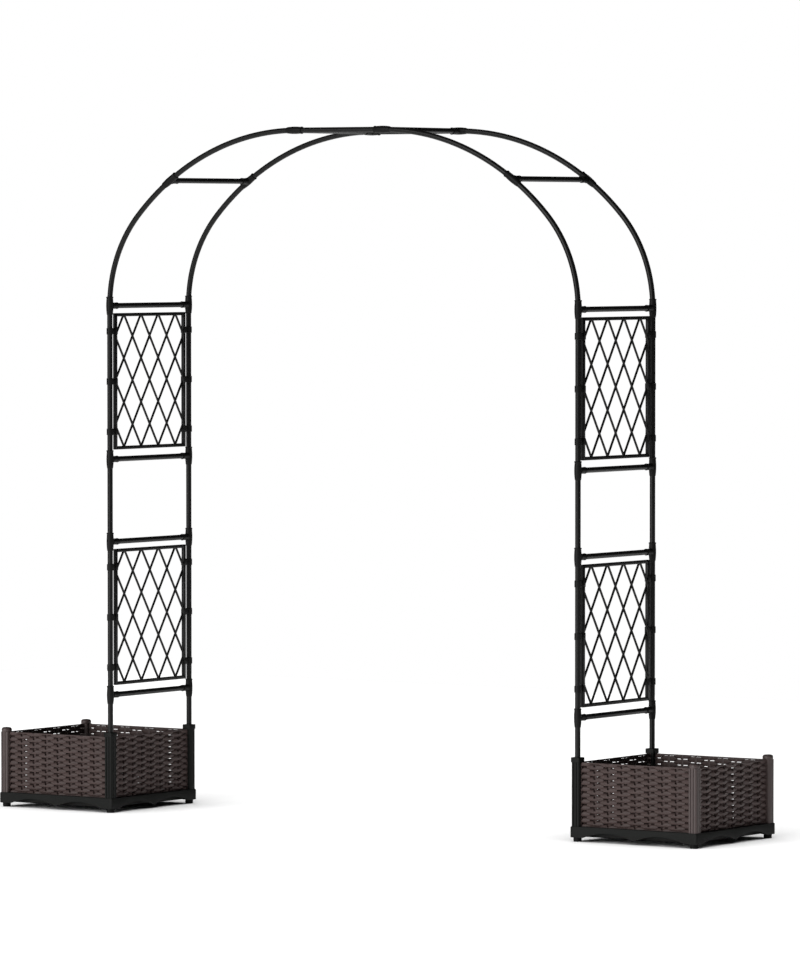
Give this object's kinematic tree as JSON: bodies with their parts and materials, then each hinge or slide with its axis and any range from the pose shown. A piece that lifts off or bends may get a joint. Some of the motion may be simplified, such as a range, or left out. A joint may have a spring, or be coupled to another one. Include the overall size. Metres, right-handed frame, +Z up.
{
  "type": "garden trellis arch with planters",
  "caption": "Freestanding tubular garden arch with clipped lattice sides, standing in a pair of square woven-look planters, for climbing plants over a path",
  "frame": {"origin": "on the ground, midway between the legs and midway between the front and rear arch", "axes": "+X across the path, +Y through the arch from front to rear, +Z up"},
  "size_m": [2.491, 0.431, 2.0559],
  "materials": {
    "steel_tube": "satin",
    "lattice_steel": "satin",
    "connector_plastic": "matte",
    "black_plastic": "matte",
    "foot_plastic": "matte",
    "floor_plastic": "matte",
    "brown_plastic": "satin",
    "woven_plastic": "satin"
  },
  "bodies": {
    "root": {"planter_base_left": "black_plastic", "planter_feet_left": "foot_plastic", "planter_floor_left": "floor_plastic", "woven_panel_front_left": "woven_plastic", "woven_panel_rear_left": "woven_plastic", "woven_panel_inner_left": "woven_plastic", "woven_panel_outer_left": "woven_plastic", "leg_post_front_left": "black_plastic", "corner_post_front_left": "brown_plastic", "socket_tube_front_left": "steel_tube", "lower_leg_tube_front_left": "steel_tube", "middle_leg_tube_front_left": "steel_tube", "upper_leg_tube_front_left": "steel_tube", "lower_arch_tube_front_left": "steel_tube", "upper_arch_tube_front_left": "steel_tube", "leg_post_rear_left": "black_plastic", "corner_post_rear_left": "brown_plastic", "socket_tube_rear_left": "steel_tube", "lower_leg_tube_rear_left": "steel_tube", "middle_leg_tube_rear_left": "steel_tube", "upper_leg_tube_rear_left": "steel_tube", "lower_arch_tube_rear_left": "steel_tube", "upper_arch_tube_rear_left": "steel_tube", "lattice_panel_lower_left": "lattice_steel", "lattice_panel_upper_left": "lattice_steel", "leg_tees_left": "connector_plastic", "planter_base_right": "black_plastic", "planter_feet_right": "foot_plastic", "planter_floor_right": "floor_plastic", "woven_panel_front_right": "woven_plastic", "woven_panel_rear_right": "woven_plastic", "woven_panel_inner_right": "woven_plastic", "woven_panel_outer_right": "woven_plastic", "leg_post_front_right": "black_plastic", "corner_post_front_right": "brown_plastic", "socket_tube_front_right": "steel_tube", "lower_leg_tube_front_right": "steel_tube", "middle_leg_tube_front_right": "steel_tube", "upper_leg_tube_front_right": "steel_tube", "lower_arch_tube_front_right": "steel_tube", "upper_arch_tube_front_right": "steel_tube", "leg_post_rear_right": "black_plastic", "corner_post_rear_right": "brown_plastic", "socket_tube_rear_right": "steel_tube", "lower_leg_tube_rear_right": "steel_tube", "middle_leg_tube_rear_right": "steel_tube", "upper_leg_tube_rear_right": "steel_tube", "lower_arch_tube_rear_right": "steel_tube", "upper_arch_tube_rear_right": "steel_tube", "lattice_panel_lower_right": "lattice_steel", "lattice_panel_upper_right": "lattice_steel", "leg_tees_right": "connector_plastic", "crown_tube_front": "steel_tube", "crown_tube_rear": "steel_tube", "post_collars": "black_plastic", "post_caps": "brown_plastic", "arch_tees": "connector_plastic", "leg_rungs": "steel_tube", "arch_rungs": "steel_tube", "lattice_clips": "connector_plastic"}
  },
  "joints": []
}
